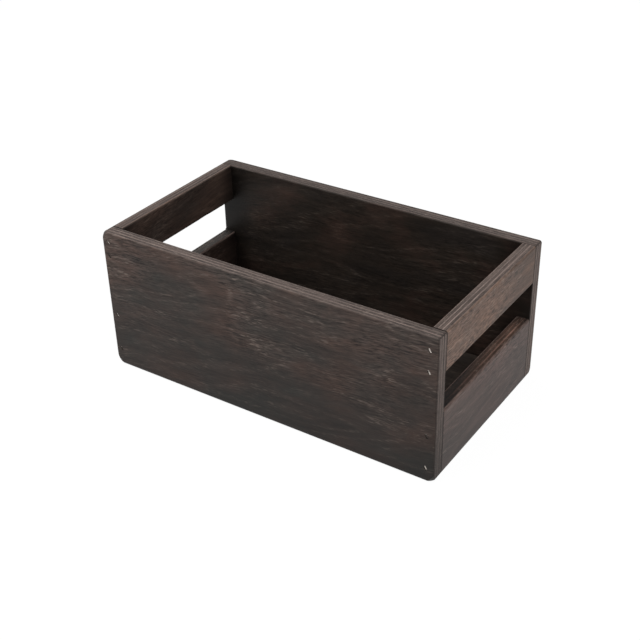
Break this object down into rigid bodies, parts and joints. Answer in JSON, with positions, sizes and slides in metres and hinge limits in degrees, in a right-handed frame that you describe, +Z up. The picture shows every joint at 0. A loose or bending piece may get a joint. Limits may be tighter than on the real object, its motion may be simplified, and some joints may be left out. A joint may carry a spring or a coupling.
{
  "type": "wooden organizer box",
  "caption": "Open-topped oblong box of dark stained plywood boards, with a full-width hand slot between an upper rail and a lower panel at each end.",
  "frame": {"origin": "middle of the footprint, on the surface that the box stands on", "axes": "+X along the length towards the right-hand end, +Y from the front board to the back board, +Z up"},
  "size_m": [0.26, 0.1424, 0.107],
  "materials": {
    "stained_boards": "dark brown stain on birch plywood, satin",
    "stained_ends": "dark brown stain on birch plywood, satin, rubbed a little lighter",
    "stained_floor": "dark brown stain on thin birch plywood, matt",
    "brad_steel": "bare galvanized wire heads"
  },
  "bodies": {
    "root": {"front_board": "stained_boards", "back_board": "stained_boards", "left_rail": "stained_ends", "right_rail": "stained_ends", "left_panel": "stained_ends", "right_panel": "stained_ends", "floor_panel": "stained_floor", "front_brads": "brad_steel", "back_brads": "brad_steel"}
  },
  "joints": []
}
